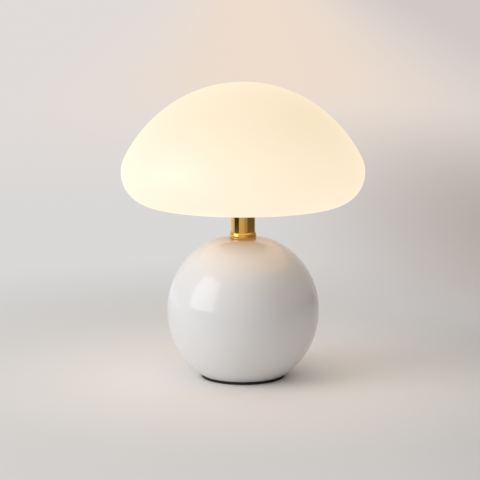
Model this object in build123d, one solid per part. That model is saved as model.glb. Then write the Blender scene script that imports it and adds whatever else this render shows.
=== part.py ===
"""Mushroom table lamp: a closed opal glass shade on a brass neck and a glazed ceramic ball.

The origin is on the table under the lamp's axis, +Z is up and the front is towards -Y.
One threaded pipe clamps the whole stem: base plate, ball, neck tube, gallery and lampholder.
The shade only rests on its gallery and lifts off over the bulb, which then unscrews.
"""

from build123d import *
import os
from math import cos, radians, sin, sqrt, tan

# Clearances, mm
slip = 0.1  # between fixed pieces that slide into each other
running = 0.3  # between pieces that move past each other
mouth_gap = 0.5  # between the shade's mouth and the gallery's shoulder

# Foot pad and base plate
pad_radius = 42.6
pad_thickness = 3.0
pad_hole_radius = 14.0
plate_radius = 39.4
plate_sheet = 1.5
dish_radius = 20.0
dish_depth = 12.0
dish_bend = 2.5

# Ceramic ball
ball_radius = 78.6
ball_band = 2.0  # height of the straight band between the two half balls
ball_foot_radius = 43.5
ball_foot_round = 1.0
ball_flat_radius = 25.9  # where the flat crown meets the ball, before they are blended
ball_crown_blend = 40.0
ball_wall = 5.0
ball_crown_wall = 7.0
ball_ledge = 4.0  # the inner foot ring that the base plate is drawn up against
ball_opening_radius = 33.0
ball_pipe_hole_radius = 6.0

# Ballast on the base plate
ballast_radius = 32.0
ballast_height = 16.0
ballast_edge = 1.0

# Neck
gasket_radius = 12.3
gasket_thickness = 1.0
neck_radius = 12.5
neck_wall = 1.0
neck_length = 33.6
collar_radius = 13.75
collar_height = 7.0
collar_wide_height = 2.4  # where the collar bulges most
collar_foot_radius = 13.4
collar_top_radius = 12.9
collar_edge = 0.15
neck_disc_thickness = 4.0

# Gallery that carries the shade
gallery_radius = 38.0
gallery_sheet = 1.2
gallery_step = 5.0  # how far the middle stands above the flange
gallery_bead_radius = 1.1
gallery_bend = 1.0
gallery_vents = 6
gallery_vent_ring_radius = 20.5
gallery_vent_radius = 4.0
cushion_inner_radius = 31.6
cushion_outer_radius = 36.4
cushion_thickness = 1.8

# Glass shade, drawn from its crown to its mouth as four tangent arcs
shade_radius = 125.0
shade_wall = 3.0
crown_radius = 132.3
crown_degrees = 36.4
shoulder_degrees = 26.85
rim_radius = 33.2
rim_degrees = 108.05
underside_radius = 329.0
mouth_radius = 31.0
mouth_round = 1.1

# Threaded pipe and its fasteners
pipe_radius = 5.0
pipe_bore_radius = 3.9
pipe_below_nut = 2.0
slot_width = 7.0
nut_across_flats = 14.0
nut_height = 4.0
washer_radius = 9.5
washer_thickness = 1.0
spring_washer_radius = 8.0
spring_washer_thickness = 1.4
spring_washer_split = 1.6

# Lampholder
holder_radius = 14.0
holder_foot_radius = 11.5
holder_foot_round = 1.5
holder_cup_height = 16.0
holder_cup_floor = 3.0
holder_boss_radius = 7.5
holder_boss_height = 8.0
holder_height = 42.0
holder_wall = 2.5
holder_lip = 2.0
holder_mouth_radius = 8.2
sleeve_grooves = 6
sleeve_groove_pitch = 3.0
sleeve_groove_radius = 0.6
carrier_floor = 5.0
carrier_lap = 3.0  # how far the carrier reaches down into the cup
shell_wall = 0.35
shell_length = 18.0
contact_sheet = 0.5
contact_width = 5.0
contact_rise = 1.6
contact_reach = 5.8
contact_past_tip = 1.0
clamp_size = 4.0
clamp_height = 3.6
clamp_offset = 7.6
clamp_screw_radius = 1.3
clamp_screw_length = 3.0

# Bulb, measured up from its tip
tip_radius = 2.6
tip_height = 1.6
insulator_low_radius = 4.4
insulator_height = 3.6
cap_radius = 6.85
cap_wall = 0.4
cap_length = 17.0
housing_foot_radius = 9.6
housing_top_radius = 19.9
globe_below_centre = 11.3  # how far the globe's open rim lies under its middle
housing_waist_radius = 13.4
housing_wall = 1.4
spigot_depth = 12.0
globe_radius = 22.5
globe_wall = 1.2
bulb_length = 78.0
spreader_thickness = 1.5
spreader_hole_radius = 2.4
board_thickness = 1.0
board_radius = 17.2
led_count = 8
led_ring_radius = 12.0
led_size = 3.0
led_height = 0.7
driver_length = 26.0
driver_width = 8.4
driver_thickness = 1.2
capacitor_radius = 3.0
capacitor_height = 9.0
choke_size = 7.0
choke_thickness = 4.0
rectifier_length = 5.0
rectifier_thickness = 1.6

# Driver slots in the small screws
driver_slot_width = 0.6
driver_slot_depth = 0.7

# Terminal block on the ballast, and its two leads
block_length = 17.0
block_depth = 10.0
block_height = 12.0
block_distance = 24.0  # from the lamp's axis to the block's middle
block_pitch = 10.0
block_entry_radius = 1.6
block_screw_radius = 1.9
block_screw_length = 4.0
fixing_screw_radius = 1.5
fixing_screw_head_radius = 2.4
fixing_screw_head_height = 1.4
fixing_screw_length = 14.0
lead_radius = 1.0
lead_spacing = 2.3
lead_height = 8.5  # above the ballast
lead_run_out = 2.0  # straight out of the block before it turns to the pipe
lead_side_bend = 18.0
lead_bend = 9.0
lead_top_bend = 3.9

# Cord entry at the back
entry_degrees = 30.0  # below the ball's middle
entry_bore_radius = 3.2
entry_shank_radius = 4.9
entry_flange_radius = 7.6
entry_flange_thickness = 2.4
entry_nut_across_flats = 14.0
entry_nut_height = 3.5
entry_thread_over = 1.0

# Heights that follow, up from the table
plate_bottom = pad_thickness
ledge_bottom = plate_bottom + plate_sheet
low_centre = pad_thickness + sqrt(ball_radius**2 - ball_foot_radius**2)
high_centre = low_centre + ball_band
crown = high_centre + sqrt(ball_radius**2 - ball_flat_radius**2)
dish_top = plate_bottom + dish_depth + plate_sheet
ballast_top = dish_top + ballast_height
neck_bottom = crown + gasket_thickness
plateau_bottom = neck_bottom + neck_length
plateau_top = plateau_bottom + gallery_sheet
flange_top = plateau_top - gallery_step
seat = flange_top + cushion_thickness
holder_bottom = plateau_top + washer_thickness + nut_height
holder_top = holder_bottom + holder_height
carrier_bottom = holder_bottom + holder_cup_height - carrier_lap
carrier_deck = carrier_bottom + carrier_floor
contact_top = carrier_deck + contact_rise + contact_sheet
bulb_tip = contact_top + running
cap_bottom = bulb_tip + tip_height + insulator_height
cap_top = cap_bottom + cap_length
globe_centre = bulb_tip + bulb_length - globe_radius
housing_top = globe_centre - globe_below_centre
lower_nut_top = plate_bottom + dish_depth - washer_thickness - spring_washer_thickness
pipe_bottom = lower_nut_top - nut_height - pipe_below_nut
pipe_top = holder_bottom + holder_boss_height
cap_bore_radius = cap_radius + running

# The shade's arcs end level with its seat, half a turn from where they start
underside_degrees = 180.0 - crown_degrees - shoulder_degrees - rim_degrees
shoulder_end = radians(crown_degrees + shoulder_degrees)
shoulder_radius = (
    shade_radius - crown_radius * sin(radians(crown_degrees)) - rim_radius * (1 - sin(shoulder_end))
) / (sin(shoulder_end) - sin(radians(crown_degrees)))
rim_end = radians(crown_degrees + shoulder_degrees + rim_degrees)
shade_top = (
    seat
    + crown_radius * (1 - cos(radians(crown_degrees)))
    + shoulder_radius * (cos(radians(crown_degrees)) - cos(shoulder_end))
    + rim_radius * (cos(shoulder_end) - cos(rim_end))
    + underside_radius * (cos(rim_end) + 1)
)


def turned(profile):
    """Turn a profile, drawn as radius and height, round the lamp's axis."""
    return revolve(Plane.XZ * profile, Axis.Z)


def box_profile(inner, outer, low, high):
    """The section of a plain ring or disc."""
    return Pos((inner + outer) / 2, (low + high) / 2) * Rectangle(outer - inner, high - low)


def ring(inner, outer, low, high):
    return turned(box_profile(inner, outer, low, high))


def polygon(*points):
    return make_face(Polyline(*points, close=True))


def corners(profile, places, radius):
    """Round the corners of a profile that lie nearest to the given places."""
    chosen = [profile.vertices().sort_by_distance(Vector(*place, 0))[0] for place in places]
    return fillet(chosen, radius)


def hex_nut(bottom, bore, across=nut_across_flats, height=nut_height):
    """A hexagon nut with both faces chamfered, standing on the given height."""
    corner = across / 2 / cos(radians(30))
    lift = (corner - across / 2) * tan(radians(30))
    body = extrude(RegularPolygon(across / 2, 6, major_radius=False), height)
    dome = polygon(
        (0, 0), (across / 2, 0), (corner, lift), (corner, height - lift), (across / 2, height), (0, height)
    )
    return Pos(0, 0, bottom) * ((body & turned(dome)) - Cylinder(bore, 3 * height))


def pipe_path(*points, radii):
    """Straight runs joined by tangent arcs, one radius for each corner."""
    points = [Vector(*point) for point in points]
    edges, start = [], points[0]
    for before, corner, after, radius in zip(points, points[1:], points[2:], radii):
        into, out = (corner - before).normalized(), (after - corner).normalized()
        half_turn = radians(into.get_angle(out)) / 2
        reach = radius * tan(half_turn)
        inward = (out - into).normalized()
        middle = corner + inward * (radius / cos(half_turn) - radius)
        edges += [
            Line(start, corner - into * reach),
            ThreePointArc(corner - into * reach, middle, corner + out * reach),
        ]
        start = corner + out * reach
    return Wire(edges + [Line(start, points[-1])])


# Foot and ball


def make_foot_pad():
    """A soft ring under the ball and the base plate, open in the middle for a nut spanner."""
    return ring(pad_hole_radius, pad_radius, 0, pad_thickness)


def make_base_plate():
    """Pressed steel: a flat rim in the ball's rebate and a raised dish that hides the nut."""
    low, high = plate_bottom, dish_top - plate_sheet
    section = polygon(
        (pipe_radius + slip, high),
        (dish_radius, high),
        (dish_radius + plate_sheet, low),
        (plate_radius, low),
        (plate_radius, low + plate_sheet),
        (dish_radius + 2 * plate_sheet, low + plate_sheet),
        (dish_radius + plate_sheet, dish_top),
        (pipe_radius + slip, dish_top),
    )
    inside = [(dish_radius, high), (dish_radius + 2 * plate_sheet, ledge_bottom)]
    outside = [(dish_radius + plate_sheet, dish_top), (dish_radius + plate_sheet, low)]
    section = corners(section, inside, dish_bend / 2)
    section = corners(section, outside, dish_bend)
    return turned(section)


def ball_section(radius, low, high):
    """Half of the ball's outline, cut off level at the bottom and at the top."""
    whole = (
        Pos(0, low_centre) * Circle(radius)
        + Pos(0, high_centre) * Circle(radius)
        + Pos(0, (low_centre + high_centre) / 2) * Rectangle(2 * radius, ball_band)
    )
    return whole & box_profile(0, radius, low, high)


def make_base_ball():
    """The hollow ceramic ball, with a flat crown for the neck and a rebated foot ring."""
    outer = ball_section(ball_radius, pad_thickness, crown)
    outer = corners(outer, [(ball_flat_radius, crown)], ball_crown_blend)
    outer = corners(outer, [(ball_foot_radius, pad_thickness)], ball_foot_round)
    hollow = ball_section(ball_radius - ball_wall, ledge_bottom + ball_ledge, crown - ball_crown_wall)
    opening = box_profile(0, ball_opening_radius, 0, low_centre)
    rebate = box_profile(0, plate_radius + slip, 0, ledge_bottom)
    pipe_hole = box_profile(0, ball_pipe_hole_radius, low_centre, crown + 1)
    ball = turned(outer - hollow - opening - rebate - pipe_hole)
    return ball - entry_place() * Cylinder(entry_shank_radius + slip, 4 * ball_wall)


def make_ballast():
    """A cast iron disc, small enough to pass the ball's opening, tapped for the terminal block."""
    section = box_profile(pipe_radius + slip, ballast_radius, dish_top, ballast_top)
    section = corners(section, [(ballast_radius, dish_top), (ballast_radius, ballast_top)], ballast_edge)
    tapped = Pos(0, block_distance, ballast_top) * Cylinder(fixing_screw_radius, 2 * fixing_depth())
    return turned(section) - tapped


# Cord entry


def entry_place(out=ball_radius):
    """A place on the cord entry's own axis, which meets the ball's back square."""
    return Pos(0, 0, low_centre) * Rot(-90 - entry_degrees, 0, 0) * Pos(0, 0, out)


def entry_inner_face():
    """How far out the entry's nut can go before its rim meets the round inner wall."""
    corner = entry_nut_across_flats / 2 / cos(radians(30))
    return sqrt((ball_radius - ball_wall) ** 2 - corner**2)


def make_cord_entry():
    """A moulded bush: a domed flange that follows the ball and a threaded shank through it."""
    inner = entry_inner_face() - entry_nut_height - entry_thread_over
    outer = ball_radius + entry_flange_thickness
    section = polygon(
        (entry_bore_radius, inner),
        (entry_shank_radius, inner),
        (entry_shank_radius, ball_radius - ball_wall),
        (entry_flange_radius, ball_radius - ball_wall),
        (entry_flange_radius, ball_radius + entry_flange_thickness / 3),
        (entry_shank_radius + 1, outer),
        (entry_bore_radius, outer),
    )
    section = corners(section, [(entry_shank_radius + 1, outer)], entry_flange_thickness)
    section = corners(section, [(entry_bore_radius, outer)], (entry_shank_radius + 1 - entry_bore_radius) / 3)
    hole_in_ball = box_profile(entry_shank_radius, 2 * entry_flange_radius, 0, 2 * ball_radius)
    under_flange = Circle(ball_radius) & hole_in_ball
    return entry_place(0) * turned(section - under_flange)


def make_cord_entry_nut():
    nut = hex_nut(0, entry_shank_radius + slip / 2, entry_nut_across_flats, entry_nut_height)
    return entry_place(entry_inner_face() - entry_nut_height) * nut


# Neck


def make_neck_gasket():
    return ring(ball_pipe_hole_radius, gasket_radius, crown, neck_bottom)


def make_neck_tube():
    return ring(neck_radius - neck_wall, neck_radius, neck_bottom, plateau_bottom)


def make_neck_disc():
    """Keeps the foot of the tube centred on the pipe."""
    shoulder = (neck_radius - neck_wall + pipe_radius) / 2
    section = box_profile(
        pipe_radius + slip, neck_radius - neck_wall - slip, neck_bottom, neck_bottom + neck_disc_thickness / 2
    ) + box_profile(pipe_radius + slip, shoulder, neck_bottom, neck_bottom + neck_disc_thickness)
    return turned(section)


def make_neck_collar():
    """The brass ring round the foot of the tube, bulging low down and drawn in at the top."""
    inner, top = neck_radius + slip, crown + collar_height
    bulge = ThreePointArc(
        (collar_foot_radius, crown), (collar_radius, crown + collar_wide_height), (collar_top_radius, top)
    )
    rest = Polyline(bulge @ 1, (inner, top), (inner, crown), bulge @ 0)
    section = make_face([bulge, *rest.edges()])
    return turned(corners(section, [(collar_top_radius, top), (collar_foot_radius, crown)], collar_edge))


# Gallery


def make_shade_gallery():
    """A spun brass plate: a flange with a rolled edge, a shoulder that centres the glass and vents."""
    shoulder = mouth_radius - mouth_gap
    flange_bottom = flange_top - gallery_sheet
    bead_middle = gallery_radius - gallery_bead_radius
    flange = box_profile(shoulder - gallery_sheet, bead_middle, flange_bottom, flange_top)
    wall = box_profile(shoulder - gallery_sheet, shoulder, flange_bottom, plateau_top)
    plateau = box_profile(pipe_radius + slip, shoulder, plateau_bottom, plateau_top)
    section = flange + wall + plateau
    section = corners(section, [(shoulder, plateau_top)], gallery_bend + gallery_sheet)
    section = corners(section, [(shoulder - gallery_sheet, plateau_bottom)], gallery_bend)
    section = corners(section, [(shoulder - gallery_sheet, flange_bottom)], gallery_bend)
    bead = Pos(bead_middle, flange_top - gallery_bead_radius) * Circle(gallery_bead_radius)
    centring = box_profile(
        neck_radius - neck_wall - slip - gallery_sheet,
        neck_radius - neck_wall - slip,
        plateau_bottom - 2 * gallery_sheet,
        plateau_bottom,
    )
    gallery = turned(section + bead + centring)
    vent = Pos(0, 0, plateau_bottom - gallery_sheet) * extrude(Circle(gallery_vent_radius), 3 * gallery_sheet)
    for place in PolarLocations(gallery_vent_ring_radius, gallery_vents):
        gallery -= place * vent
    return gallery


def make_cushion_ring():
    return ring(cushion_inner_radius, cushion_outer_radius, flange_top, seat)


# Shade


def shade_arcs(inset):
    """The shade's line from crown to mouth, moved inwards by part of the wall."""
    crown_arc = JernArc((0, shade_top - inset), (1, 0), crown_radius - inset, -crown_degrees)
    shoulder_arc = JernArc(crown_arc @ 1, crown_arc % 1, shoulder_radius - inset, -shoulder_degrees)
    rim_arc = JernArc(shoulder_arc @ 1, shoulder_arc % 1, rim_radius - inset, -rim_degrees)
    underside_arc = JernArc(rim_arc @ 1, rim_arc % 1, underside_radius - inset, -underside_degrees)
    return [crown_arc, shoulder_arc, rim_arc, underside_arc]


def make_glass_shade():
    """Blown glass of even wall, closed under its rim down to a round-lipped mouth."""
    outer, inner = shade_arcs(0), shade_arcs(shade_wall)
    low_lip = Line(outer[-1] @ 1, (mouth_radius, seat))
    lip = Line(low_lip @ 1, (mouth_radius, seat + shade_wall))
    high_lip = Line(lip @ 1, inner[-1] @ 1)
    axis = Line(inner[0] @ 0, outer[0] @ 0)
    section = make_face([*outer, low_lip, lip, high_lip, *inner, axis])
    section = corners(section, [(mouth_radius, seat), (mouth_radius, seat + shade_wall)], mouth_round)
    return turned(section)


# Pipe and fasteners


def make_lamp_pipe():
    """The threaded pipe that holds the lamp together, slotted where the leads turn up into it."""
    pipe = ring(pipe_bore_radius, pipe_radius, pipe_bottom, pipe_top)
    bottom = ballast_top + lead_height - 2 * lead_radius
    top = ballast_top + lead_height + lead_bend + lead_radius
    slot = Pos(0, pipe_radius, (bottom + top) / 2) * Box(slot_width, 2 * pipe_radius, top - bottom)
    return pipe - slot


def make_pipe_nuts():
    """Under the base plate, over the ballast and over the gallery."""
    bottoms = [lower_nut_top - nut_height, ballast_top + washer_thickness, plateau_top + washer_thickness]
    return [hex_nut(bottom, pipe_radius + slip / 2) for bottom in bottoms]


def make_pipe_washers():
    bottoms = [plate_bottom + dish_depth - washer_thickness, ballast_top, plateau_top]
    return [ring(pipe_radius + slip, washer_radius, bottom, bottom + washer_thickness) for bottom in bottoms]


def make_spring_washer():
    """A split washer under the lower nut."""
    top = lower_nut_top + spring_washer_thickness
    washer = ring(pipe_radius + slip, spring_washer_radius, lower_nut_top, top)
    split = Pos(spring_washer_radius, 0, lower_nut_top) * Rot(30, 0, 0)
    return washer - split * Box(2 * spring_washer_radius, spring_washer_split, 6 * spring_washer_thickness)


# Lampholder


def make_holder_cup():
    """The lampholder's foot, screwed on the pipe by its boss."""
    low, high = holder_bottom, holder_bottom + holder_cup_height
    outside = polygon(
        (0, low),
        (holder_foot_radius, low),
        (holder_radius, high - carrier_lap),
        (holder_radius, high),
        (0, high),
    )
    outside = corners(outside, [(holder_foot_radius, low)], holder_foot_round)
    cavity = box_profile(0, holder_radius - holder_wall, low + holder_cup_floor, high)
    boss = box_profile(0, holder_boss_radius, low, low + holder_boss_height)
    foot_wall = polygon(
        (holder_foot_radius - holder_wall, low + holder_cup_floor),
        (holder_radius - holder_wall, low + holder_cup_floor),
        (holder_radius - holder_wall, high - carrier_lap - 1),
    )
    bore = box_profile(0, pipe_radius + slip / 2, low, high)
    return turned((outside - cavity) + boss + foot_wall - bore)


def make_holder_sleeve():
    """The outer sleeve, turned in at the top round the bulb's cap, with grooves for grip."""
    low = holder_bottom + holder_cup_height
    section = box_profile(holder_radius - holder_wall, holder_radius, low, holder_top) + box_profile(
        holder_mouth_radius, holder_radius, holder_top - holder_lip, holder_top
    )
    section = corners(section, [(holder_radius, holder_top)], holder_lip / 2)
    for step in range(sleeve_grooves):
        section -= Pos(holder_radius, low + sleeve_groove_pitch * (step + 1)) * Circle(sleeve_groove_radius)
    return turned(section)


def make_holder_carrier():
    """The moulded insert that holds the screw shell and the contacts."""
    top = holder_top - holder_lip - slip
    outside = box_profile(0, holder_radius - holder_wall - slip, carrier_bottom, top)
    bore = box_profile(0, cap_bore_radius + shell_wall + slip, carrier_deck, top)
    return turned(outside - bore)


def make_screw_shell():
    """The thin brass shell that the bulb's cap screws into, flared at its mouth."""
    top = holder_top - holder_lip - 2 * slip
    return ring(cap_bore_radius, cap_bore_radius + shell_wall, top - shell_length, top)


def make_centre_contact():
    """A springy brass tongue: flat where it is riveted, raised under the bulb's tip."""
    low = carrier_deck + contact_sheet / 2
    high = low + contact_rise
    end = tip_radius + contact_past_tip
    line = Polyline((-contact_reach, low), (-tip_radius, low), (0, high), (end, high))
    strip = trace(line, contact_sheet)
    return extrude(Plane.XZ * strip, contact_width / 2, both=True)


def clamp_places():
    height = carrier_bottom - clamp_height / 2
    return [Pos(side * clamp_offset, 0, height) for side in (-1, 1)]


def make_holder_clamps():
    """The two brass terminals under the carrier, each bored for its lead and its screw."""
    clamps = []
    for side, place in zip((-1, 1), clamp_places()):
        lead_hole = Rot(0, 90, 0) * Cylinder(lead_radius + slip, 2 * clamp_size)
        screw_hole = Pos(0, -clamp_size / 2, 0) * Rot(90, 0, 0) * Cylinder(clamp_screw_radius, clamp_size / 2)
        clamps.append(place * (Box(clamp_size, clamp_size, clamp_height) - lead_hole - screw_hole))
    return clamps


def make_clamp_screws():
    """Grub screws in the terminals, with driver slots."""
    screws = []
    for place in clamp_places():
        screw = Cylinder(clamp_screw_radius, clamp_screw_length)
        slot = Box(3 * clamp_screw_radius, driver_slot_width, 2 * driver_slot_depth)
        slot = Pos(0, 0, clamp_screw_length / 2) * slot
        out = -clamp_size / 2 + clamp_size / 4 - clamp_screw_length / 2
        screws.append(place * Pos(0, out, 0) * Rot(90, 0, 0) * (screw - slot))
    return screws


# Bulb


def make_bulb_tip():
    section = box_profile(0, tip_radius, bulb_tip, bulb_tip + tip_height)
    return turned(corners(section, [(tip_radius, bulb_tip)], tip_height / 2))


def make_bulb_insulator():
    low, top_radius = bulb_tip + tip_height, cap_radius - cap_wall
    return turned(polygon((0, low), (insulator_low_radius, low), (top_radius, cap_bottom), (0, cap_bottom)))


def make_bulb_cap():
    """The drawn metal cap, a thin cup that closes on the insulator."""
    return ring(cap_radius - cap_wall, cap_radius, cap_bottom, cap_top)


def housing_face(inset):
    """Half of the housing's flared outline, moved inwards by part of its wall."""
    flare = ThreePointArc(
        (housing_foot_radius - inset, cap_top),
        (housing_waist_radius - inset, (cap_top + housing_top) / 2),
        (housing_top_radius - inset, housing_top),
    )
    rest = Polyline(flare @ 1, (0, housing_top), (0, cap_top), flare @ 0)
    return make_face([flare, *rest.edges()])


def make_bulb_housing():
    """The moulded shell from the cap to the globe, with its spigot down inside the cap."""
    spigot = cap_radius - cap_wall - slip / 2
    outside = housing_face(0) + box_profile(0, spigot, cap_top - spigot_depth, cap_top)
    inside = housing_face(housing_wall) & box_profile(0, globe_radius, cap_top + housing_wall, housing_top)
    bore = box_profile(0, spigot - housing_wall, cap_top - spigot_depth, cap_top + 2 * housing_wall)
    return turned(outside - inside - bore)


def make_heat_spreader():
    """An aluminium disc pressed into the top of the housing under the light board."""
    top = housing_top - board_thickness
    level = box_profile(spreader_hole_radius, globe_radius, top - spreader_thickness, top)
    return turned(housing_face(housing_wall + slip) & level)


def make_light_board():
    return ring(0, board_radius, housing_top - board_thickness, housing_top)


def make_light_chips():
    """A ring of small square emitters."""
    chip = Pos(led_ring_radius, 0, housing_top + led_height / 2) * Box(led_size, led_size, led_height)
    return [Rot(0, 0, 360 / led_count * turn) * chip for turn in range(led_count)]


def make_driver_board():
    """The power supply: an upright board with a capacitor, a choke and a rectifier on it."""
    top = housing_top - board_thickness - spreader_thickness
    board = Pos(0, 0, top - driver_length / 2) * Box(driver_width, driver_thickness, driver_length)
    capacitor = Cylinder(capacitor_radius, capacitor_height)
    capacitor = Pos(0, capacitor_radius, top - capacitor_height) * capacitor
    choke = Pos(0, -choke_thickness / 2, top - choke_size) * Box(choke_size, choke_thickness, choke_size)
    rectifier_height = top - 2 * choke_size
    rectifier = Pos(0, rectifier_thickness / 2, rectifier_height) * Box(
        rectifier_length, driver_thickness + rectifier_thickness, rectifier_length
    )
    return board + capacitor + choke + rectifier


def make_bulb_globe():
    """The opal globe, open at the bottom where it sits on the housing."""
    whole = Circle(globe_radius) - Circle(globe_radius - globe_wall)
    kept = box_profile(0, globe_radius, housing_top, globe_centre + globe_radius)
    return turned(Pos(0, globe_centre) * whole & kept)


# Terminal block and leads


def fixing_depth():
    """How far the block's fixing screw goes into the ballast."""
    return fixing_screw_length - (block_height - fixing_screw_head_height)


def make_terminal_block():
    """A two-way moulded block, with entries through it and a screw well over each."""
    block = Box(block_length, block_depth, block_height)
    block = fillet(block.edges().filter_by(Axis.Z), 1)
    entry_drop = lead_height - block_height / 2
    for side in (-1, 1):
        across = side * block_pitch / 2
        block -= Pos(across, 0, entry_drop) * Rot(90, 0, 0) * Cylinder(block_entry_radius, 2 * block_depth)
        block -= Pos(across, 0, block_height / 2) * Cylinder(block_screw_radius, 2 * block_screw_length)
    head_well = Cylinder(fixing_screw_head_radius + slip, 2 * fixing_screw_head_height)
    block -= Cylinder(fixing_screw_radius + slip, 2 * block_height)
    block -= Pos(0, 0, block_height / 2) * head_well
    return Pos(0, block_distance, ballast_top + block_height / 2) * block


def make_block_screws():
    """The clamping screws of the two ways, with driver slots."""
    top = ballast_top + block_height
    bottom = ballast_top + lead_height + lead_radius + slip
    screws = []
    for side in (-1, 1):
        height = top - bottom
        screw = Cylinder(block_screw_radius - slip, height)
        screw -= Pos(0, 0, height / 2) * Box(4 * block_screw_radius, driver_slot_width, 2 * driver_slot_depth)
        screws.append(Pos(side * block_pitch / 2, block_distance, bottom + height / 2) * screw)
    return screws


def make_fixing_screw():
    """Holds the terminal block down on the ballast."""
    top = ballast_top + block_height
    shank_top = top - fixing_screw_head_height
    head = Cylinder(fixing_screw_head_radius, fixing_screw_head_height)
    shank = Cylinder(fixing_screw_radius, fixing_screw_length)
    screw = Pos(0, 0, (top + shank_top) / 2) * head + Pos(0, 0, shank_top - fixing_screw_length / 2) * shank
    slot = Pos(0, 0, top) * Box(6 * fixing_screw_radius, driver_slot_width, 2 * driver_slot_depth)
    return Pos(0, block_distance, 0) * (screw - slot)


def make_lead(side):
    """One insulated lead: from its terminal into the pipe's slot, up the pipe and out to its clamp."""
    level = ballast_top + lead_height
    clamp_level = carrier_bottom - clamp_height / 2
    beside = side * lead_spacing / 2
    path = pipe_path(
        (side * block_pitch / 2, block_distance, level),
        (side * block_pitch / 2, block_distance - block_depth / 2 - lead_run_out, level),
        (beside, 0, level),
        (beside, 0, clamp_level),
        (side * clamp_offset, 0, clamp_level),
        radii=(lead_side_bend, lead_bend, lead_top_bend),
    )
    lead = sweep(path.location_at(0) * Plane(origin=(0, 0, 0), z_dir=(0, 0, 1)) * Circle(lead_radius), path)
    print("lead length", round(path.length, 1), "volume", round(lead.volume, 1))
    return lead


pieces = {
    "foot_pad": make_foot_pad(),
    "base_plate": make_base_plate(),
    "base_ball": make_base_ball(),
    "ballast_disc": make_ballast(),
    "cord_entry_bush": make_cord_entry(),
    "cord_entry_nut": make_cord_entry_nut(),
    "neck_gasket": make_neck_gasket(),
    "neck_tube": make_neck_tube(),
    "neck_centring_disc": make_neck_disc(),
    "neck_collar": make_neck_collar(),
    "shade_gallery": make_shade_gallery(),
    "shade_cushion_ring": make_cushion_ring(),
    "glass_shade": make_glass_shade(),
    "lamp_pipe": make_lamp_pipe(),
    "pipe_nuts": make_pipe_nuts(),
    "pipe_washers": make_pipe_washers(),
    "pipe_spring_washer": make_spring_washer(),
    "holder_cup": make_holder_cup(),
    "holder_sleeve": make_holder_sleeve(),
    "holder_contact_carrier": make_holder_carrier(),
    "holder_screw_shell": make_screw_shell(),
    "holder_centre_contact": make_centre_contact(),
    "holder_lead_clamps": make_holder_clamps(),
    "holder_clamp_screws": make_clamp_screws(),
    "bulb_tip_contact": make_bulb_tip(),
    "bulb_cap_insulator": make_bulb_insulator(),
    "bulb_screw_cap": make_bulb_cap(),
    "bulb_housing": make_bulb_housing(),
    "bulb_heat_spreader": make_heat_spreader(),
    "bulb_light_board": make_light_board(),
    "bulb_light_chips": make_light_chips(),
    "bulb_driver_board": make_driver_board(),
    "bulb_globe": make_bulb_globe(),
    "terminal_block": make_terminal_block(),
    "terminal_block_screws": make_block_screws(),
    "terminal_block_fixing_screw": make_fixing_screw(),
    "live_lead": make_lead(-1),
    "neutral_lead": make_lead(1),
}

os.makedirs("parts", exist_ok=True)
for name, piece in pieces.items():
    solid = Compound(children=piece) if isinstance(piece, list) else piece
    export_step(solid, f"parts/{name}.step")
print("shade top", round(shade_top, 2), "seat", round(seat, 2), "bulb top", round(bulb_tip + bulb_length, 2))
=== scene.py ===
from math import atan2, cos, hypot, pi, radians, sin

import bmesh
import bpy
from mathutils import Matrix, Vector


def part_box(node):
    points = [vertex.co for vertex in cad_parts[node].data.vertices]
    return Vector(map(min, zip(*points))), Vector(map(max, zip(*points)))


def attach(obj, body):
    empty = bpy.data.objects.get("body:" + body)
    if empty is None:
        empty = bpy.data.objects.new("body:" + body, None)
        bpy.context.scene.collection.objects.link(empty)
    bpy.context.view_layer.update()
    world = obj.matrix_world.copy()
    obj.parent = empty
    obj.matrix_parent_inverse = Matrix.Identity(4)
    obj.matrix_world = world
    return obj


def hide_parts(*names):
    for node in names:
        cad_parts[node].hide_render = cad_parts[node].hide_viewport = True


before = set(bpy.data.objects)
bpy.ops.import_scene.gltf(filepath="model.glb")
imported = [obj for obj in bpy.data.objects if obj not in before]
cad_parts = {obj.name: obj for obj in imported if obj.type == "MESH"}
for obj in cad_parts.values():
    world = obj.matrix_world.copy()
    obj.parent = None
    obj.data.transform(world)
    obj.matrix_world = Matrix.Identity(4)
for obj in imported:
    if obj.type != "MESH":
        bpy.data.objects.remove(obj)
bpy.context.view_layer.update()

print("frame loaded:", len(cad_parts), "nodes")


# camera, metres and degrees
camera = {
    "place": (0.0, -2.0, 0.472),
    "down": 9.145,
    "lens": 147.56,
    "sensor": 36,
    "near": 0.05,
    "far": 60,
    "frame": 480,
    "viewCentre": (243.0, 233.1),  # where the lens axis falls in the frame, so the shift stays small
}


def makeCamera():
    data = bpy.data.cameras.new("camera")
    data.lens, data.sensor_width = camera["lens"], camera["sensor"]
    data.clip_start, data.clip_end = camera["near"], camera["far"]
    size, (across, down) = camera["frame"], camera["viewCentre"]
    data.shift_x = (size / 2 - across) / size
    data.shift_y = (down - size / 2) / size
    made = bpy.data.objects.new("camera", data)
    made.location = camera["place"]
    made.rotation_euler = (radians(90 - camera["down"]), 0, 0)
    bpy.context.collection.objects.link(made)
    bpy.context.scene.camera = made


makeCamera()
bpy.context.scene.view_settings.view_transform = "Standard"
print("camera set")


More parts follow.
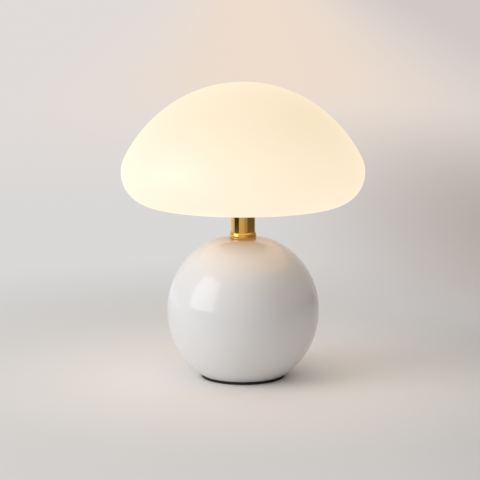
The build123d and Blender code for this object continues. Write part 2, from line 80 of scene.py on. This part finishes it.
# a socket of a node tree, so that shader maths reads as plain expressions
class Wire:
    def __init__(self, nodes, socket):
        self.nodes, self.socket = nodes, socket

    def maths(self, operation, *values):
        return self.nodes.node("ShaderNodeMath", {"operation": operation}, dict(enumerate(values)))

    def __add__(self, other):
        return self.maths("ADD", self, other)

    def __sub__(self, other):
        return self.maths("SUBTRACT", self, other)

    def __mul__(self, other):
        return self.maths("MULTIPLY", self, other)

    def __truediv__(self, other):
        return self.maths("DIVIDE", self, other)

    def __pow__(self, other):
        return self.maths("POWER", self, other)

    def __radd__(self, other):
        return self.maths("ADD", other, self)

    def __rsub__(self, other):
        return self.maths("SUBTRACT", other, self)

    def __rmul__(self, other):
        return self.maths("MULTIPLY", other, self)

    def __rtruediv__(self, other):
        return self.maths("DIVIDE", other, self)

    def size(self):
        return self.maths("ABSOLUTE", self)

    def least(self, other):
        return self.maths("MINIMUM", self, other)

    def span(self, low, high):
        # low at 0, high at 1, in a straight line
        return self * (high - low) + low

    def rise(self, low, high):
        # 0 at low, 1 at high, eased between
        limits = {"From Min": low, "From Max": high, "Value": self}
        return self.nodes.node("ShaderNodeMapRange", {"interpolation_type": "SMOOTHSTEP"}, limits)

    def mix(self, low, high):
        colours = {0: self, 6: low, 7: high}
        return self.nodes.node("ShaderNodeMix", {"data_type": "RGBA"}, colours, 2)


# the nodes of one material or world
class Nodes:
    def __init__(self, owner, shader):
        owner.use_nodes = True
        self.owner, self.tree = owner, owner.node_tree
        self.shader = self.tree.nodes[shader]

    def join(self, value, socket):
        if isinstance(value, Wire):
            self.tree.links.new(value.socket, socket)
        elif isinstance(value, (tuple, list)) and len(value) < len(socket.default_value):
            socket.default_value = (*value, 1)
        else:
            socket.default_value = value

    def node(self, kind, settings=None, inputs=None, out=0):
        made = self.tree.nodes.new(kind)
        for name, value in (settings or {}).items():
            setattr(made, name, value)
        for key, value in (inputs or {}).items():
            self.join(value, made.inputs[key])
        return Wire(self, made.outputs[out])

    def set(self, inputs):
        for name, value in inputs.items():
            self.join(value, self.shader.inputs[name])
        return self

    def axes(self, coordinates="Object"):
        here = self.node("ShaderNodeTexCoord", out=coordinates)
        split = self.node("ShaderNodeSeparateXYZ", inputs={0: here})
        return [Wire(self, socket) for socket in split.socket.node.outputs]

    def fromAxis(self):
        across, along, _ = self.axes()
        return (across * across + along * along) ** 0.5

    def helix(self, pitch):
        # rounded ridges of one right-hand thread round the lamp's axis, 0 to 1
        across, along, up = self.axes()
        turn = across.maths("ARCTAN2", along, across) / (2 * pi)
        phase = (up / pitch - turn) * (2 * pi)
        return phase.maths("SINE", phase).span(0.5, 1.0)

    def place(self, stretch):
        here = self.node("ShaderNodeTexCoord", out="Object")
        return self.node("ShaderNodeMapping", inputs={"Vector": here, "Scale": stretch})

    def noise(self, size, detail=3, stretch=(1, 1, 1)):
        # size in metres
        values = {"Vector": self.place(stretch), "Scale": 1 / size, "Detail": detail}
        return self.node("ShaderNodeTexNoise", inputs=values)

    def cells(self, size, stretch=(1, 1, 1)):
        values = {"Vector": self.place(stretch), "Scale": 1 / size}
        return self.node("ShaderNodeTexVoronoi", inputs=values)

    def relief(self, height, depth):
        # depth in metres where height is 1
        bump = self.node("ShaderNodeBump", inputs={"Height": height, "Distance": depth}, out="Normal")
        return self.set({"Normal": bump})


def paint(name, **inputs):
    return Nodes(bpy.data.materials.new(name), "Principled BSDF").set(inputs)


def shades(colour, *factors):
    return [tuple(channel * factor for channel in colour) for factor in factors]


def coat(nodes, *names):
    for name in names:
        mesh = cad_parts[name].data
        mesh.materials.clear()
        mesh.materials.append(nodes.owner)


def standIn(made, nodes, body, node):
    # gives a piece its material and puts it in a CAD node's place
    made.data.materials.append(nodes.owner)
    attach(made, body)
    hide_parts(node)


def toObject(mesh, name, sharpDegrees=30):
    data = bpy.data.meshes.new(name)
    mesh.to_mesh(data)
    mesh.free()
    data.shade_smooth()
    data.set_sharp_from_angle(angle=radians(sharpDegrees))
    made = bpy.data.objects.new(name, data)
    bpy.context.collection.objects.link(made)
    return made


def turned(name, line, steps):
    # spins a line of (radius, height) points round the lamp's axis
    mesh = bmesh.new()
    verts = [mesh.verts.new((radius, 0, height)) for radius, height in line]
    edges = [mesh.edges.new(pair) for pair in zip(verts, verts[1:])]
    whole = {"cent": (0, 0, 0), "axis": (0, 0, 1), "angle": 2 * pi, "use_merge": True}
    bmesh.ops.spin(mesh, geom=verts + edges, steps=steps, **whole)
    bmesh.ops.remove_doubles(mesh, verts=mesh.verts, dist=1e-6)
    bmesh.ops.recalc_face_normals(mesh, faces=mesh.faces)
    return toObject(mesh, name)


def arc(centre, radius, start, end, steps):
    # (radius, height) points round a centre, degrees up from outward level
    turns = [radians(start + (end - start) * step / steps) for step in range(steps + 1)]
    return [(centre[0] + radius * cos(turn), centre[1] + radius * sin(turn)) for turn in turns]


# floor, metres: pairs named Across or Away are where a change begins and ends, to the right or from the lamp
floor = {
    "colour": (0.86, 0.855, 0.845),
    "mottle": 1.1,
    "mottleShade": 0.985,
    # painted shade: the floor's colour darker on the side away from the window
    "right": (0.77, 0.76, 0.755),  # on the side away from the window
    "rightAcross": (0.05, 0.32),
    "lampLit": (0.965, 0.935, 0.90),  # the pool of lamp light round the ball
    "poolAway": (0.08, 0.36),
    "rough": 0.8,
    "radius": 24.0,
    "height": -0.0001,
    "segments": 128,
}

# what the floor turns into further out, with painted light and shade: lighter to the left, painted shade to
# the right, and a painted glow of lamp light above and behind the shade
backdrop = {
    "away": (0.3, 0.75),
    "nearLeft": (0.70, 0.69, 0.68),
    "nearRightShade": (0.45, 0.395, 0.365),
    "nearAcross": (-0.05, 0.45),
    "farLeft": (0.745, 0.71, 0.70),
    "farRightShade": (0.645, 0.584, 0.57),
    "farAcross": (0.1, 1.0),
    "farAway": (0.9, 3.2),
    "lampGlow": (0.93, 0.73, 0.55),  # above and behind the shade
    "glowShare": 0.62,
    "glowCentre": 0.1,
    "glowHalfWidth": 0.8,
    "glowAway": (0.9, 4.0),
}


def paintBackdrop(nodes):
    across, away = nodes.axes()[0], nodes.fromAxis()
    # painted shade towards the right, and a painted glow of lamp light above and behind the shade
    near = across.rise(*backdrop["nearAcross"]).mix(backdrop["nearLeft"], backdrop["nearRightShade"])
    distant = across.rise(*backdrop["farAcross"]).mix(backdrop["farLeft"], backdrop["farRightShade"])
    spread = (across - backdrop["glowCentre"]).size().rise(0, backdrop["glowHalfWidth"])
    glow = away.rise(*backdrop["glowAway"]) * (1 - spread) * backdrop["glowShare"]
    return glow.mix(away.rise(*backdrop["farAway"]).mix(near, distant), backdrop["lampGlow"])


def layFloor():
    mesh = bmesh.new()
    bmesh.ops.create_circle(mesh, cap_ends=True, segments=floor["segments"], radius=floor["radius"])
    bmesh.ops.translate(mesh, verts=mesh.verts, vec=(0, 0, floor["height"]))
    ground = toObject(mesh, "floor")
    nodes = paint("floorPaint", **{"Roughness": floor["rough"], "Specular IOR Level": 0.0})
    across, away = nodes.axes()[0], nodes.fromAxis()
    pale = nodes.noise(floor["mottle"], 2).mix(*shades(floor["colour"], 1, floor["mottleShade"]))
    # painted shade on the side away from the window
    pale = across.rise(*floor["rightAcross"]).mix(pale, floor["right"])
    # painted pool of lamp light round the ball
    pale = away.rise(*floor["poolAway"]).mix(floor["lampLit"], pale)
    far = away.rise(*backdrop["away"])
    nodes.set({"Base Color": far.mix(pale, (0, 0, 0)), "Emission Strength": 1.0})
    nodes.set({"Emission Color": far.mix((0, 0, 0), paintBackdrop(nodes))})
    nodes.set({"Alpha": 1 - nodes.node("ShaderNodeNewGeometry", out="Backfacing")})  # clear from below
    ground.data.materials.append(nodes.owner)


# light from all round: pairs named Across or Up are sines of a bearing or a height
surround = {
    "seenLeft": (0.74, 0.722, 0.705),  # by the camera, and in glaze and metal
    "seenRight": (0.34, 0.305, 0.28),
    "seenAcross": (-0.15, 0.9),
    "coolLight": (0.985, 0.99, 1.0),
    "warmLight": (1.0, 0.89, 0.79),
    "warmAcross": (-0.3, 0.9),
    "left": 0.57,
    "right": 0.04,
    "levelAcross": (-0.2, 0.8),
    "overhead": 0.72,
    "overheadUp": (0.35, 0.85),
}


def lightSurround():
    world = bpy.data.worlds.new("surround")
    bpy.context.scene.world = world
    nodes = Nodes(world, "Background")
    across, _, up = nodes.axes("Generated")
    level = across.rise(*surround["levelAcross"]).span(surround["left"], surround["right"])
    strength = level + up.rise(*surround["overheadUp"]) * (surround["overhead"] - level)
    light = across.rise(*surround["warmAcross"]).mix(surround["coolLight"], surround["warmLight"])
    seen = across.rise(*surround["seenAcross"]).mix(surround["seenLeft"], surround["seenRight"])
    rays = nodes.node("ShaderNodeLightPath").socket.node.outputs
    kinds = ("Camera", "Glossy", "Transmission")
    direct, mirrored, clear = [Wire(nodes, rays[f"Is {kind} Ray"]) for kind in kinds]
    pictured = (direct + mirrored + clear).least(1)
    nodes.set({"Color": pictured.mix(light, seen), "Strength": strength + pictured * (1 - strength)})


window = {
    "bearing": -66,  # degrees round from the camera's side, left is minus
    "distance": 1.9,
    "size": (1.48, 2.0),
    "height": 1.04,
    "watts": 18.5,
    "colour": (0.985, 0.99, 1.0),
}


def onBearing(bearing, distance, height):
    turn = radians(bearing)
    return Vector((distance * sin(turn), -distance * cos(turn), height))


def hangWindow():
    data = bpy.data.lights.new("window", "AREA")
    data.shape = "RECTANGLE"
    data.size, data.size_y = window["size"]
    data.energy, data.color = window["watts"], window["colour"]
    pane = bpy.data.objects.new("window", data)
    pane.location = onBearing(window["bearing"], window["distance"], window["height"])
    pane.rotation_euler = (-onBearing(window["bearing"], 1, 0)).to_track_quat("-Z", "Y").to_euler()
    bpy.context.collection.objects.link(pane)


# curved cards low down round the lamp, seen only in what shines, degrees and metres
cards = {
    "distance": 0.9,
    "foot": 0.002,
    "height": 0.12,
    "steps": 24,
    "dark": {"from": -86, "to": -38, "colour": (0.012, 0.010, 0.008)},
    "dim": {"from": 42, "to": 138, "colour": (0.15, 0.13, 0.10)},
    "bright": {"from": -152, "to": -104, "colour": (0.97, 0.95, 1.0)},
}


def standCard(name):
    card = cards[name]
    mesh = bmesh.new()
    foot = onBearing(card["from"], cards["distance"], cards["foot"])
    verts = [mesh.verts.new(foot), mesh.verts.new(foot + Vector((0, 0, cards["height"])))]
    upright = [*verts, mesh.edges.new(verts)]
    sweep = {"cent": (0, 0, 0), "axis": (0, 0, 1), "angle": radians(card["to"] - card["from"])}
    bmesh.ops.spin(mesh, geom=upright, steps=cards["steps"], **sweep)
    made = toObject(mesh, name + "Card")
    nodes = paint(name + "Card", **{"Emission Strength": 1.0, "Specular IOR Level": 0.0})
    nodes.set({"Base Color": (0, 0, 0), "Emission Color": card["colour"]})
    made.data.materials.append(nodes.owner)
    made.visible_camera = made.visible_diffuse = made.visible_shadow = made.visible_transmission = False


layFloor()
lightSurround()
hangWindow()
for name in ("dark", "dim", "bright"):
    standCard(name)
print("studio lit")


# glass shade: four arcs from crown to mouth, each starting in the direction where the last one ends
shade = {
    "radius": 0.125,
    "top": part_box("glass_shade")[1][2],
    "wall": 0.003,
    "crownRadius": 0.1323,
    "crownDegrees": 36.4,
    "shoulderDegrees": 26.85,
    "rimRadius": 0.0332,
    "rimDegrees": 108.05,
    "undersideRadius": 0.329,
    "mouthRadius": 0.031,
    "lipRound": 0.0012,
    "lipSteps": 6,
    "arcSteps": (28, 20, 44, 14),
    "segments": 256,
}

# opal glass, lit from inside; at the heights named Up one glow passes into the next
opal = {
    "glass": (0.24, 0.21, 0.225),
    "cloud": 0.05,
    "cloudShades": (1.03, 0.97),
    "rough": 0.48,
    "sheen": 0.08,
    "sheenRough": 0.3,
    "wave": 0.03,
    "waveDepth": 0.0001,
    "glowUnder": (1.0, 0.74, 0.49),
    "footUp": (0.1792, 0.1815),
    "glowFoot": (0.89, 0.73, 0.54),
    "sideUp": (0.182, 0.205),
    "glowSide": (0.88, 0.745, 0.54),
    "topUp": (0.20, 0.29),
    "glowTop": (0.78, 0.66, 0.43),
}


def shadeLine(inset):
    ends = [shade["crownDegrees"], shade["shoulderDegrees"], shade["rimDegrees"]]
    ends = [sum(ends[: count + 1]) for count in range(3)] + [180]
    crownSine, shoulderSine = sin(radians(ends[0])), sin(radians(ends[1]))
    widest = shade["radius"] - shade["rimRadius"] * (1 - shoulderSine)
    shoulderRadius = (widest - shade["crownRadius"] * crownSine) / (shoulderSine - crownSine)
    radii = [shade["crownRadius"], shoulderRadius, shade["rimRadius"], shade["undersideRadius"]]
    across, height, start, line = 0.0, shade["top"], 0, []
    for radius, end, steps in zip(radii, ends, shade["arcSteps"]):
        centre = (across - radius * sin(radians(start)), height - radius * cos(radians(start)))
        line += arc(centre, radius - inset, 90 - start, 90 - end, steps)[1 if line else 0 :]
        across, height = centre[0] + radius * sin(radians(end)), centre[1] + radius * cos(radians(end))
        start = end
    return line


def opalGlass():
    nodes = paint("opalGlass", Roughness=opal["rough"], IOR=1.5)
    nodes.set({"Coat Weight": opal["sheen"], "Coat Roughness": opal["sheenRough"], "Emission Strength": 1.0})
    up = nodes.axes()[2]
    side = up.rise(*opal["topUp"]).mix(opal["glowSide"], opal["glowTop"])
    foot = up.rise(*opal["footUp"]).mix(opal["glowUnder"], opal["glowFoot"])
    nodes.set({"Emission Color": up.rise(*opal["sideUp"]).mix(foot, side)})
    nodes.set({"Base Color": nodes.noise(opal["cloud"], 2).mix(*shades(opal["glass"], *opal["cloudShades"]))})
    return nodes.relief(nodes.noise(opal["wave"], 1), opal["waveDepth"])


def blowShade():
    outer, inner = shadeLine(0), shadeLine(shade["wall"])
    low, high, small, steps = outer[-1][1], inner[-1][1], shade["lipRound"], shade["lipSteps"]
    across = shade["mouthRadius"] + small
    lip = arc((across, low + small), small, 270, 180, steps)
    lip += arc((across, high - small), small, 180, 90, steps)
    made = turned("blownShade", outer + lip + inner[::-1], shade["segments"])
    standIn(made, opalGlass(), "shade", "glass_shade")


blowShade()
print("shade blown")


# ceramic ball and its pad; the glaze ends a little above the foot
glaze = {
    "colour": (0.815, 0.82, 0.83),
    "shades": (1.01, 0.975),
    "cloud": 0.05,
    "bare": (0.66, 0.61, 0.54),
    "foot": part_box("foot_pad")[1][2],
    "edge": (0.0002, 0.0008),
    "rough": 0.32,
    "gloss": 0.7,
    "glossRough": 0.04,
    "ripple": 0.011,
    "rippleDepth": 0.000018,
}

foam = {
    "colour": (0.016, 0.016, 0.017),
    "shades": (0.7, 1.5),
    "rough": 0.92,
    "pore": 0.0007,
    "poreDepth": 0.00012,
}


def glazeBall():
    nodes = paint("whiteGlaze", Roughness=glaze["rough"], IOR=1.5)
    nodes.set({"Coat Weight": glaze["gloss"], "Coat Roughness": glaze["glossRough"]})
    edge = nodes.axes()[2].rise(*[glaze["foot"] + height for height in glaze["edge"]])
    glazed = nodes.noise(glaze["cloud"], 4).mix(*shades(glaze["colour"], *glaze["shades"]))
    nodes.set({"Base Color": edge.mix(glaze["bare"], glazed)})
    nodes.relief(nodes.noise(glaze["ripple"], 2), glaze["rippleDepth"])
    coat(nodes, "base_ball")


def makeFoam():
    nodes = paint("footFoam", Roughness=foam["rough"])
    pores = nodes.cells(foam["pore"])
    nodes.set({"Base Color": pores.mix(*shades(foam["colour"], *foam["shades"]))})
    nodes.relief(pores, foam["poreDepth"])
    coat(nodes, "foot_pad")


glazeBall()
makeFoam()
print("ball glazed")


# the bulb's screw thread, pressed in the cap and in the holder's shell, metres
screwThread = {
    "pitch": 0.00282,
    "wallShare": 0.8,  # its depth, as a share of the wall
    "plainTop": 0.0045,
    "fade": 0.001,
    "rows": 80,
    "segments": 144,
}


def pressThread(name, node, inwards):
    # a ring of the node's size, with a rounded helical thread in its inner or outer face
    (_, _, low), (outside, _, high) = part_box(node)
    inside = min(hypot(*vertex.co.xy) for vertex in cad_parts[node].data.vertices)
    threaded, plain = (inside, outside) if inwards else (outside, inside)
    count = screwThread["rows"]
    rows = [(threaded, low + (high - low) * row / count) for row in range(count + 1)]
    made = turned(name, [*rows, (plain, high), (plain, low), rows[0]], screwThread["segments"])
    depth, middle = screwThread["wallShare"] * (plain - threaded), (inside + outside) / 2
    for vertex in made.data.vertices:
        across, along, height = vertex.co
        radius = hypot(across, along)
        if (radius > middle) == inwards:  # on the plain face
            continue
        phase = 2 * pi * height / screwThread["pitch"] - atan2(along, across)
        fromEnds = min(height - low, high - screwThread["plainTop"] - height) / screwThread["fade"]
        sunk = depth * (0.5 + 0.5 * cos(phase)) * max(0, min(fromEnds, 1))
        vertex.co.xy *= (radius + sunk) / radius
    return made


# drawn and stamped metal: wear is its size and detail, rough is for bright and for worn places
drawn = {
    "brass": {
        "colour": (0.74, 0.56, 0.27),
        "worn": 0.72,
        "wear": (0.004, 4),
        "rough": (0.20, 0.42),
        "grain": 0.0006,
        "grainDepth": 0.00001,
    },
    "nickel": {
        "colour": (0.68, 0.66, 0.62),
        "worn": 0.8,
        "wear": (0.003, 3),
        "rough": (0.16, 0.34),
        "grain": 0.0007,
        "grainDepth": 0.000008,
    },
}


def drawMetal(name, finish):
    nodes = paint(name, Metallic=1.0)
    wear = nodes.noise(*finish["wear"])
    nodes.set({"Base Color": wear.mix(*shades(finish["colour"], 1.0, finish["worn"]))})
    nodes.set({"Roughness": wear.span(*finish["rough"])})
    return nodes.relief(nodes.noise(finish["grain"]), finish["grainDepth"])


brass = {
    "colour": (0.80, 0.475, 0.115),
    "tarnish": (0.68, 0.37, 0.08),
    "stain": 0.011,
    "stainFrom": (0.5, 0.85),
    "stainShare": 0.35,
    "rough": (0.06, 0.12),
    "lacquer": 0.15,
    "lacquerRough": 0.04,
    "grain": 0.001,
    "grainStretch": (1, 1, 0.12),
    "grainDepth": 0.000003,
}


def polishBrass():
    nodes = paint("polishedBrass", Metallic=1.0)
    nodes.set({"Coat Weight": brass["lacquer"], "Coat Roughness": brass["lacquerRough"]})
    stain = nodes.noise(brass["stain"]).rise(*brass["stainFrom"]) * brass["stainShare"]
    fine = nodes.noise(brass["grain"], stretch=brass["grainStretch"])
    nodes.set({"Base Color": stain.mix(brass["colour"], brass["tarnish"])})
    nodes.set({"Roughness": fine.span(*brass["rough"])})
    nodes.relief(fine, brass["grainDepth"])
    coat(nodes, "neck_tube", "neck_collar", "shade_gallery")


def stampBrass():
    nodes = drawMetal("stampedBrass", drawn["brass"])
    coat(nodes, "neck_centring_disc", "holder_centre_contact", "holder_lead_clamps")


def rollShell():
    nodes = drawMetal("rolledShell", drawn["brass"])
    coat(nodes, "holder_screw_shell")
    made = pressThread("holderShell", "holder_screw_shell", inwards=True)
    standIn(made, nodes, "base", "holder_screw_shell")


polishBrass()
stampBrass()
rollShell()
print("brass polished")


# steel, iron and aluminium, sizes in metres
zinc = {
    "colour": (0.60, 0.61, 0.62),
    "shades": (1.05, 0.78),
    "spangle": 0.0035,
    "cloud": 0.009,
    "rough": (0.24, 0.44),
    "roughPatch": 0.002,
    "grain": 0.0009,
    "grainDepth": 0.00001,
}

pipe = {
    "pitch": 0.001,
    # painted shade: the thread's grooves and the pipe's bore darker than its crests
    "shades": (0.62, 1.0),
    "rough": (0.36, 0.26),
    "ridgeDepth": 0.0003,
    "wall": (0.0045, 0.0047),  # the thread is on the outside only
}

iron = {
    "colour": (0.045, 0.045, 0.047),
    "shades": (0.8, 2.0),
    "rough": 0.72,
    "grain": 0.0014,
    "grainDepth": 0.00025,
    "bloomFrom": (0.45, 0.75),  # heights of the grain where it turns paler
}

aluminium = {
    "colour": (0.80, 0.80, 0.81),
    "shades": (1.0, 0.86),
    "rough": (0.28, 0.48),
    "streak": 0.0012,
    "streakStretch": (0.05, 1, 1),
    "streakDepth": 0.000006,
}


def plateSteel():
    nodes = paint("platedSteel", Metallic=1.0)
    spangle = nodes.cells(zinc["spangle"]) * 0.5 + nodes.noise(zinc["cloud"], 4) * 0.5
    nodes.set({"Base Color": spangle.mix(*shades(zinc["colour"], *zinc["shades"]))})
    nodes.set({"Roughness": nodes.noise(zinc["roughPatch"]).span(*zinc["rough"])})
    nodes.relief(nodes.noise(zinc["grain"]), zinc["grainDepth"])
    coat(nodes, "base_plate", "pipe_nuts", "pipe_washers", "pipe_spring_washer")
    coat(nodes, "holder_clamp_screws", "terminal_block_screws", "terminal_block_fixing_screw")


def threadPipe():
    nodes = paint("threadedPipe", Metallic=1.0)
    ridge = nodes.helix(pipe["pitch"]) * nodes.fromAxis().rise(*pipe["wall"])
    # painted shade: darker in the thread's grooves and in the bore
    nodes.set({"Base Color": ridge.mix(*shades(zinc["colour"], *pipe["shades"]))})
    nodes.set({"Roughness": ridge.span(*pipe["rough"])})
    nodes.relief(ridge, pipe["ridgeDepth"])
    coat(nodes, "lamp_pipe")


def castIron():
    nodes = paint("castIron", Roughness=iron["rough"])
    grain = nodes.noise(iron["grain"], 5)
    nodes.set({"Base Color": grain.rise(*iron["bloomFrom"]).mix(*shades(iron["colour"], *iron["shades"]))})
    nodes.relief(grain, iron["grainDepth"])
    coat(nodes, "ballast_disc")


def drawCap():
    nodes = drawMetal("capMetal", drawn["nickel"])
    coat(nodes, "bulb_screw_cap", "bulb_tip_contact")
    made = pressThread("screwCap", "bulb_screw_cap", inwards=False)
    standIn(made, nodes, "bulb", "bulb_screw_cap")


def stampAluminium():
    nodes = paint("stampedAluminium", Metallic=1.0)
    streak = nodes.noise(aluminium["streak"], stretch=aluminium["streakStretch"])
    nodes.set({"Base Color": streak.mix(*shades(aluminium["colour"], *aluminium["shades"]))})
    nodes.set({"Roughness": streak.span(*aluminium["rough"])})
    nodes.relief(streak, aluminium["streakDepth"])
    coat(nodes, "bulb_heat_spreader")


plateSteel()
threadPipe()
castIron()
drawCap()
stampAluminium()
print("metals done")


# how every moulding varies: its clouds in grains, and its roughness either way
moulding = {"cloud": 12, "roughSpread": 0.05}

# mouldings, rubber, ceramic: colour, roughness, grain in metres, its depth
mouldings = {
    "blackMoulding": ((0.020, 0.020, 0.021), 0.42, 0.0005, 0.00002),
    "clearSilicone": ((0.74, 0.74, 0.71), 0.34, 0.0012, 0.00001),
    "steatite": ((0.82, 0.80, 0.74), 0.55, 0.0004, 0.00003),
    "nylon": ((0.80, 0.79, 0.75), 0.45, 0.0006, 0.00001),
    "blackGlass": ((0.012, 0.012, 0.014), 0.12, 0.003, 0.00001),
    "brownInsulation": ((0.16, 0.062, 0.026), 0.40, 0.001, 0.00001),
    "blueInsulation": ((0.035, 0.15, 0.46), 0.40, 0.001, 0.00001),
    "housingWhite": ((0.82, 0.82, 0.81), 0.34, 0.0006, 0.00001),
}


def mould(name, *pieces, clear=0.0, spread=0.03):
    colour, rough, grain, depth = mouldings[name]
    nodes = paint(name, **{"Transmission Weight": clear})
    fine, cloud = nodes.noise(grain), nodes.noise(moulding["cloud"] * grain)
    nodes.set({"Base Color": cloud.mix(*shades(colour, 1 - spread, 1 + spread))})
    nodes.set({"Roughness": fine.span(rough - moulding["roughSpread"], rough + moulding["roughSpread"])})
    nodes.relief(fine, depth)
    coat(nodes, *pieces)


mould("blackMoulding", "cord_entry_bush", "cord_entry_nut", "holder_cup", "holder_sleeve", spread=0.2)
mould("clearSilicone", "neck_gasket", "shade_cushion_ring", clear=0.35)
mould("steatite", "holder_contact_carrier")
mould("nylon", "terminal_block")
mould("blackGlass", "bulb_cap_insulator", spread=0.1)
mould("brownInsulation", "live_lead", spread=0.1)
mould("blueInsulation", "neutral_lead", spread=0.1)
mould("housingWhite", "bulb_housing")
print("mouldings done")


# bulb, lengths in metres
globe = {
    "colour": (0.62, 0.60, 0.56),
    "shades": (1.03, 0.97),
    "cloud": 0.012,
    "rough": 0.28,
    "glow": (0.80, 0.66, 0.44),
    "glowShades": (0.96, 1.03),  # by the housing and from the middle up
}

boards = {
    "white": (0.84, 0.84, 0.82),
    "track": (0.70, 0.70, 0.66),
    "trackRadius": 0.012,
    "trackHalfWidth": (0.002, 0.0022),
    "whiteRough": 0.4,
    "green": (0.030, 0.19, 0.085),
    "copper": (0.10, 0.33, 0.16),
    "copperCell": 0.0022,
    "copperStretch": (1, 1, 0.4),
    "copperGap": (0.35, 0.42),  # distances in a cell, as shares of it
    "copperDepth": 0.00004,
    "greenRough": 0.38,
}

chips = {
    "colour": (0.86, 0.62, 0.10),
    "shades": (1.05, 0.9),
    "grain": 0.0004,
    "rough": 0.35,
    "glow": (1.0, 0.80, 0.45),
}


def lightGlobe():
    nodes = paint("bulbGlobe", Roughness=globe["rough"], IOR=1.5)
    (_, _, low), (_, _, high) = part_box("bulb_globe")
    fall = nodes.axes()[2].rise(low, (low + high) / 2)
    nodes.set({"Base Color": nodes.noise(globe["cloud"], 2).mix(*shades(globe["colour"], *globe["shades"]))})
    nodes.set({"Emission Color": fall.mix(*shades(globe["glow"], *globe["glowShades"]))})
    nodes.set({"Emission Strength": 1.0})
    coat(nodes, "bulb_globe")


def printBoards():
    board = paint("lightBoard", Roughness=boards["whiteRough"])
    edge = (board.fromAxis() - boards["trackRadius"]).size().rise(*boards["trackHalfWidth"])
    board.set({"Base Color": edge.mix(boards["track"], boards["white"])})
    coat(board, "bulb_light_board")

    driver = paint("driverBoard", Roughness=boards["greenRough"])
    tracks = driver.cells(boards["copperCell"], stretch=boards["copperStretch"])
    tracks = tracks.rise(*boards["copperGap"])
    driver.set({"Base Color": tracks.mix(boards["copper"], boards["green"])})
    driver.relief(tracks, boards["copperDepth"])
    coat(driver, "bulb_driver_board")


def lightChips():
    nodes = paint("phosphor", Roughness=chips["rough"])
    nodes.set({"Base Color": nodes.noise(chips["grain"]).mix(*shades(chips["colour"], *chips["shades"]))})
    nodes.set({"Emission Color": chips["glow"], "Emission Strength": 1.0})
    coat(nodes, "bulb_light_chips")


lightGlobe()
printBoards()
lightChips()
print("bulb lit")
